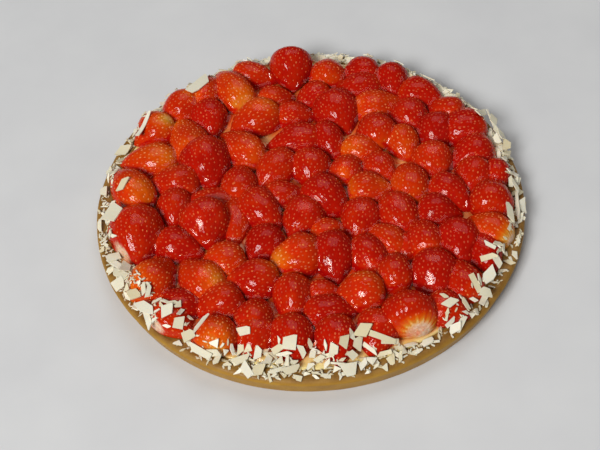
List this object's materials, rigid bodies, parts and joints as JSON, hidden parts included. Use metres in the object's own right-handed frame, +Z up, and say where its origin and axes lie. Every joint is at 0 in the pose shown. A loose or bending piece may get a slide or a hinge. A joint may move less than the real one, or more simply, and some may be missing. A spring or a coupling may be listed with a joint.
{
  "type": "strawberry flan",
  "caption": "Round flat flan: low shortcrust base with a narrow rim, custard cream, a packed layer of glazed strawberries and white chocolate shavings round the edge.",
  "frame": {"origin": "middle of the flat underside of the crust", "axes": "+Z up; -Y is the front that the picture looks at; +X to the right seen from the front"},
  "size_m": [0.28, 0.28, 0.0387],
  "materials": {
    "shortcrust": "baked shortcrust, golden brown, a little glazed on the rim, with white chocolate shavings on it",
    "custard_cream": "smooth pale yellow custard cream",
    "glazed_strawberry": "ripe strawberry under clear wet glaze, with white chocolate shavings near the rim"
  },
  "bodies": {
    "root": {"crust": "shortcrust", "cream": "custard_cream", "strawberries": "glazed_strawberry"}
  },
  "joints": []
}
